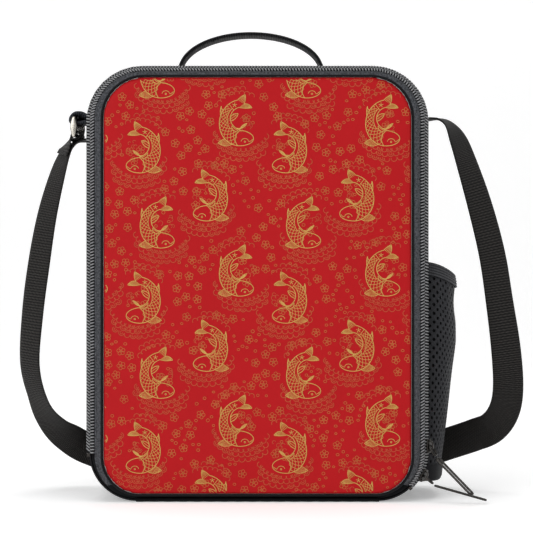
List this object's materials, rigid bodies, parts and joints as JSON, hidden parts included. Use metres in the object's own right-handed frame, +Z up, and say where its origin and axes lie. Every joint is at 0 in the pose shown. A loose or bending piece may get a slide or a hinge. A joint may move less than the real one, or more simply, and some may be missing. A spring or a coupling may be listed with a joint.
{
  "type": "insulated lunch bag",
  "caption": "Soft insulated lunch bag: zipped front lid hinged at the bottom, foam walls, webbing handle, shoulder strap and mesh bottle pocket.",
  "frame": {"origin": "on the surface the bag stands on, under the middle of its body", "axes": "+Z up, -Y out of the zipped front lid, +X towards the bottle pocket"},
  "size_m": [0.3367, 0.1113, 0.3057],
  "materials": {
    "printed_cloth": "matte woven polyester, red with a fine gold line print",
    "black_cloth": "matte woven polyester",
    "foam": "closed-cell foam sheet",
    "foil_lining": "silver heat-sealed film",
    "edge_cord": "woven binding over a cord",
    "zipper_tape": "charcoal herringbone tape",
    "zipper_coil": "nylon coil",
    "zipper_metal": "gun-metal plated zinc",
    "webbing": "ribbed polypropylene webbing",
    "mesh_net": "open spacer mesh",
    "elastic": "ribbed elastic band",
    "slide_metal": "nickel plated steel"
  },
  "bodies": {
    "bag": {"gusset_outer": "black_cloth", "gusset_foam": "foam", "gusset_lining": "foil_lining", "back_panel_outer": "black_cloth", "back_foam": "foam", "back_lining": "foil_lining", "back_piping": "edge_cord", "zipper_tape_body": "zipper_tape", "zipper_coil_body": "zipper_coil", "zipper_stop_left": "zipper_metal", "zipper_stop_right": "zipper_metal", "hinge_strip": "black_cloth", "handle_patch_left": "webbing", "handle_patch_right": "webbing", "strap_anchor_left": "webbing", "strap_anchor_right": "webbing", "bottle_pocket_mesh": "mesh_net", "pocket_elastic": "elastic", "pocket_base": "black_cloth"},
    "lid": {"lid_outer_panel": "printed_cloth", "lid_foam": "foam", "lid_lining": "foil_lining", "lid_piping": "edge_cord", "zipper_tape_lid": "zipper_tape", "zipper_coil_lid": "zipper_coil", "lid_pocket_mesh": "mesh_net", "lid_pocket_binding": "edge_cord"},
    "slider_upper": {"slider_upper": "zipper_metal"},
    "pull_upper": {"pull_link_upper": "zipper_metal", "pull_bar_upper": "zipper_metal"},
    "slider_lower": {"slider_lower": "zipper_metal"},
    "pull_lower": {"pull_link_lower": "zipper_metal", "pull_bar_lower": "zipper_metal"},
    "handle": {"top_handle": "webbing"},
    "strap": {"shoulder_strap": "webbing", "strap_loop_left": "webbing", "strap_slide": "slide_metal"}
  },
  "joints": [
    {"name": "lid_hinge", "type": "hinge", "parent": "bag", "child": "lid", "pos_m": [0, -0.0435, 0.003], "axis": [1, 0, 0], "range_deg": [0, 90]},
    {"name": "slider_upper_run", "type": "slide", "parent": "bag", "child": "slider_upper", "axis": [0, 0, 1], "range_m": [0, 0.2]},
    {"name": "pull_upper_swing", "type": "hinge", "parent": "slider_upper", "child": "pull_upper", "pos_m": [0.11114, -0.04238, 0.036], "axis": [-0.5595, -0.8289, 0], "range_deg": [-6, 95]},
    {"name": "slider_lower_run", "type": "slide", "parent": "bag", "child": "slider_lower", "axis": [0.4695, 0, 0.8829], "range_m": [0, 0.003]},
    {"name": "pull_lower_swing", "type": "hinge", "parent": "slider_lower", "child": "pull_lower", "pos_m": [0.10726, -0.04238, 0.01644], "axis": [-0.494, -0.8288, 0.2627], "range_deg": [-6, 24]},
    {"name": "handle_tilt", "type": "hinge", "parent": "bag", "child": "handle", "pos_m": [-0.0045, 0, 0.2807], "axis": [1, 0, 0], "range_deg": [-35, 35]},
    {"name": "strap_swing", "type": "hinge", "parent": "bag", "child": "strap", "pos_m": [0, 0, 0.245], "axis": [1, 0, 0], "range_deg": [0, 180]}
  ]
}
